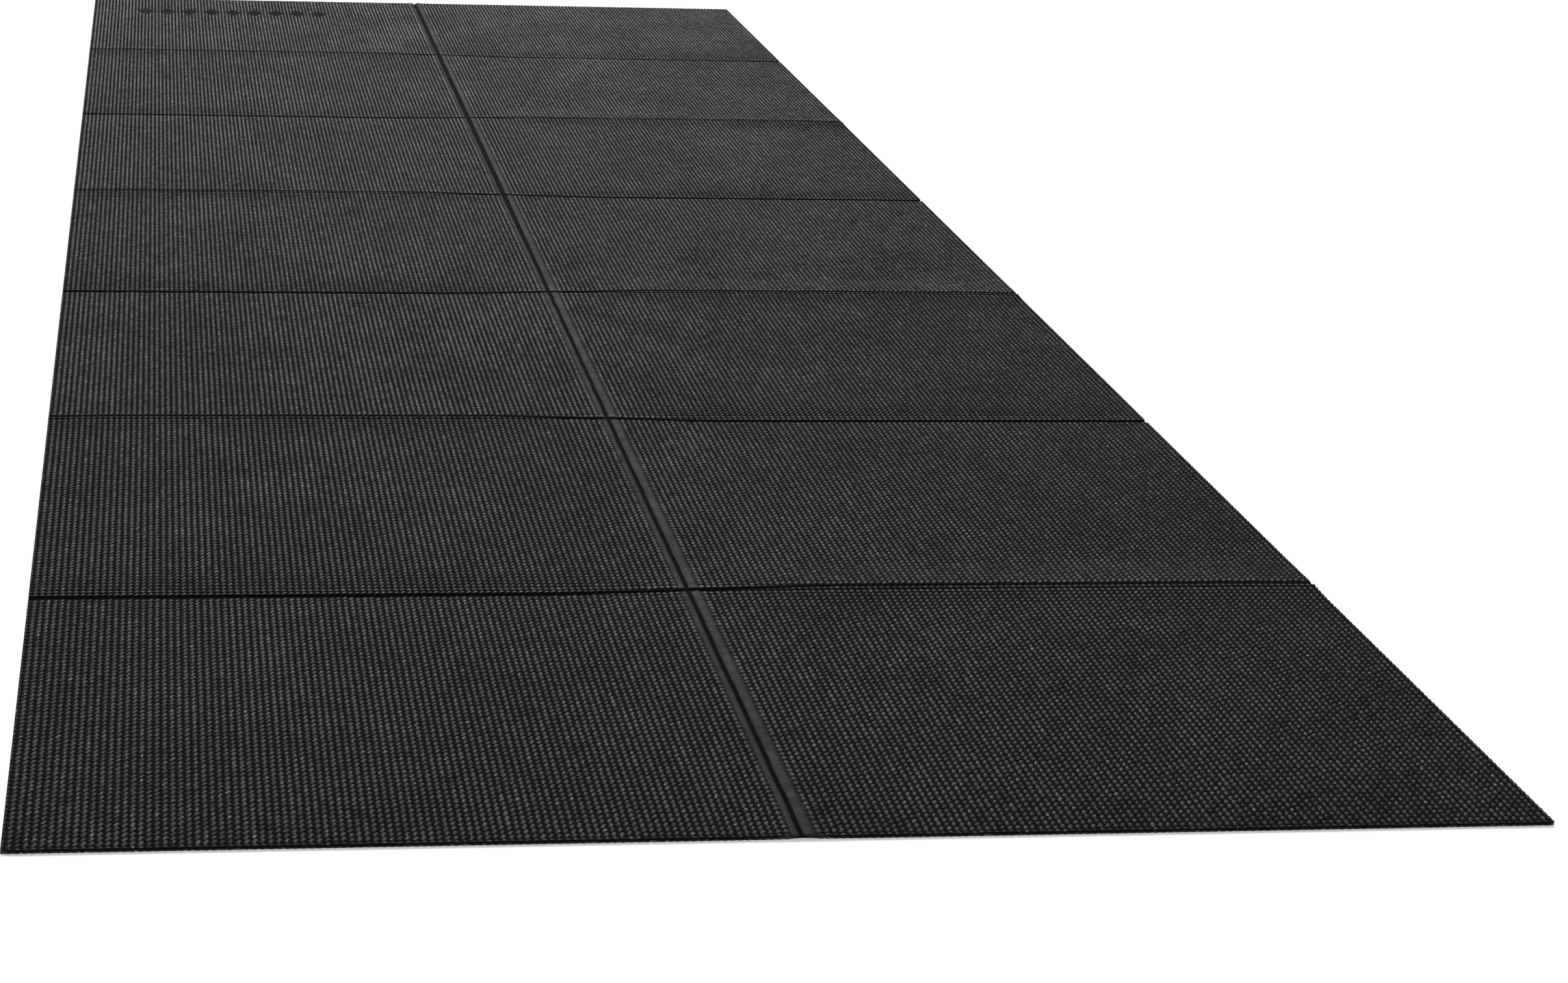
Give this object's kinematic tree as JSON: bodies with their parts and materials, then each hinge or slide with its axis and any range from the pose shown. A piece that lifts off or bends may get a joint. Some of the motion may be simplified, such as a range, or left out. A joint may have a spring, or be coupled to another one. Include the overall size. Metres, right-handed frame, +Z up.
{
  "type": "folding gym mat",
  "caption": "Thin textured foam exercise mat that folds in half down its length and then row by row into a flat packet.",
  "frame": {"origin": "middle of the open mat's underside", "axes": "+X across the mat from the left column of panels to the right, +Y along it towards the end with the sunk ornament, +Z up"},
  "size_m": [0.61, 1.729, 0.002],
  "materials": {
    "foam": "black moulded foam, bumpy",
    "pressed_foam": "black foam, pressed smooth",
    "scrim": "open woven polyester"
  },
  "bodies": {
    "left_1": {"left_panel_1": "foam", "left_scrim_1": "scrim", "centre_strip_1": "pressed_foam", "cross_strip_1": "pressed_foam"},
    "right_1": {"right_panel_1": "foam", "right_scrim_1": "scrim", "right_strip_near_1": "pressed_foam"},
    "left_2": {"left_panel_2": "foam", "left_scrim_2": "scrim", "centre_strip_2": "pressed_foam", "cross_strip_2": "pressed_foam"},
    "right_2": {"right_panel_2": "foam", "right_scrim_2": "scrim", "right_strip_far_1": "pressed_foam", "right_strip_near_2": "pressed_foam"},
    "left_3": {"left_panel_3": "foam", "left_scrim_3": "scrim", "centre_strip_3": "pressed_foam", "cross_strip_3": "pressed_foam"},
    "right_3": {"right_panel_3": "foam", "right_scrim_3": "scrim", "right_strip_far_2": "pressed_foam", "right_strip_near_3": "pressed_foam"},
    "left_4": {"left_panel_4": "foam", "left_scrim_4": "scrim", "centre_strip_4": "pressed_foam", "cross_strip_4": "pressed_foam"},
    "right_4": {"right_panel_4": "foam", "right_scrim_4": "scrim", "right_strip_far_3": "pressed_foam", "right_strip_near_4": "pressed_foam"},
    "left_5": {"left_panel_5": "foam", "left_scrim_5": "scrim", "centre_strip_5": "pressed_foam", "cross_strip_5": "pressed_foam"},
    "right_5": {"right_panel_5": "foam", "right_scrim_5": "scrim", "right_strip_far_4": "pressed_foam", "right_strip_near_5": "pressed_foam"},
    "left_6": {"left_panel_6": "foam", "left_scrim_6": "scrim", "centre_strip_6": "pressed_foam", "cross_strip_6": "pressed_foam"},
    "right_6": {"right_panel_6": "foam", "right_scrim_6": "scrim", "right_strip_far_5": "pressed_foam", "right_strip_near_6": "pressed_foam"},
    "left_7": {"left_panel_7": "foam", "left_scrim_7": "scrim", "centre_strip_7": "pressed_foam"},
    "right_7": {"right_panel_7": "foam", "right_scrim_7": "scrim", "right_strip_far_6": "pressed_foam"}
  },
  "joints": [
    {"name": "crease_1", "type": "hinge", "parent": "left_1", "child": "left_2", "pos_m": [0, -0.6175, 0.0029], "axis": [1, 0, 0], "range_deg": [0, 180], "deforming": ["cross_strip_1"]},
    {"name": "crease_2", "type": "hinge", "parent": "left_2", "child": "left_3", "pos_m": [0, -0.3705, -0.0033], "axis": [-1, 0, 0], "range_deg": [0, 180], "deforming": ["cross_strip_2"]},
    {"name": "crease_3", "type": "hinge", "parent": "left_3", "child": "left_4", "pos_m": [0, -0.1235, 0.0029], "axis": [1, 0, 0], "range_deg": [0, 180], "deforming": ["cross_strip_3"]},
    {"name": "crease_4", "type": "hinge", "parent": "left_4", "child": "left_5", "pos_m": [0, 0.1235, -0.0033], "axis": [-1, 0, 0], "range_deg": [0, 180], "deforming": ["cross_strip_4"]},
    {"name": "crease_5", "type": "hinge", "parent": "left_5", "child": "left_6", "pos_m": [0, 0.3705, 0.0029], "axis": [1, 0, 0], "range_deg": [0, 180], "deforming": ["cross_strip_5"]},
    {"name": "crease_6", "type": "hinge", "parent": "left_6", "child": "left_7", "pos_m": [0, 0.6175, -0.0033], "axis": [-1, 0, 0], "range_deg": [0, 180], "deforming": ["cross_strip_6"]},
    {"name": "centre_fold_1", "type": "hinge", "parent": "left_1", "child": "right_1", "pos_m": [0, -0.741, -0.0002], "axis": [0, 1, 0], "range_deg": [0, 180], "deforming": ["centre_strip_1"]},
    {"name": "centre_fold_2", "type": "hinge", "parent": "left_2", "child": "right_2", "pos_m": [0, -0.494, -0.0002], "axis": [0, 1, 0], "range_deg": [0, 180], "deforming": ["centre_strip_2"]},
    {"name": "centre_fold_3", "type": "hinge", "parent": "left_3", "child": "right_3", "pos_m": [0, -0.247, -0.0002], "axis": [0, 1, 0], "range_deg": [0, 180], "deforming": ["centre_strip_3"]},
    {"name": "centre_fold_4", "type": "hinge", "parent": "left_4", "child": "right_4", "pos_m": [0, 0, -0.0002], "axis": [0, 1, 0], "range_deg": [0, 180], "deforming": ["centre_strip_4"]},
    {"name": "centre_fold_5", "type": "hinge", "parent": "left_5", "child": "right_5", "pos_m": [0, 0.247, -0.0002], "axis": [0, 1, 0], "range_deg": [0, 180], "deforming": ["centre_strip_5"]},
    {"name": "centre_fold_6", "type": "hinge", "parent": "left_6", "child": "right_6", "pos_m": [0, 0.494, -0.0002], "axis": [0, 1, 0], "range_deg": [0, 180], "deforming": ["centre_strip_6"]},
    {"name": "centre_fold_7", "type": "hinge", "parent": "left_7", "child": "right_7", "pos_m": [0, 0.741, -0.0002], "axis": [0, 1, 0], "range_deg": [0, 180], "deforming": ["centre_strip_7"]}
  ],
  "couplings": [
    {"joint": "crease_2", "follows": "crease_1", "ratio": 1},
    {"joint": "crease_3", "follows": "crease_1", "ratio": 1},
    {"joint": "crease_4", "follows": "crease_1", "ratio": 1},
    {"joint": "crease_5", "follows": "crease_1", "ratio": 1},
    {"joint": "crease_6", "follows": "crease_1", "ratio": 1},
    {"joint": "centre_fold_2", "follows": "centre_fold_1", "ratio": 1},
    {"joint": "centre_fold_3", "follows": "centre_fold_1", "ratio": 1},
    {"joint": "centre_fold_4", "follows": "centre_fold_1", "ratio": 1},
    {"joint": "centre_fold_5", "follows": "centre_fold_1", "ratio": 1},
    {"joint": "centre_fold_6", "follows": "centre_fold_1", "ratio": 1},
    {"joint": "centre_fold_7", "follows": "centre_fold_1", "ratio": 1}
  ]
}
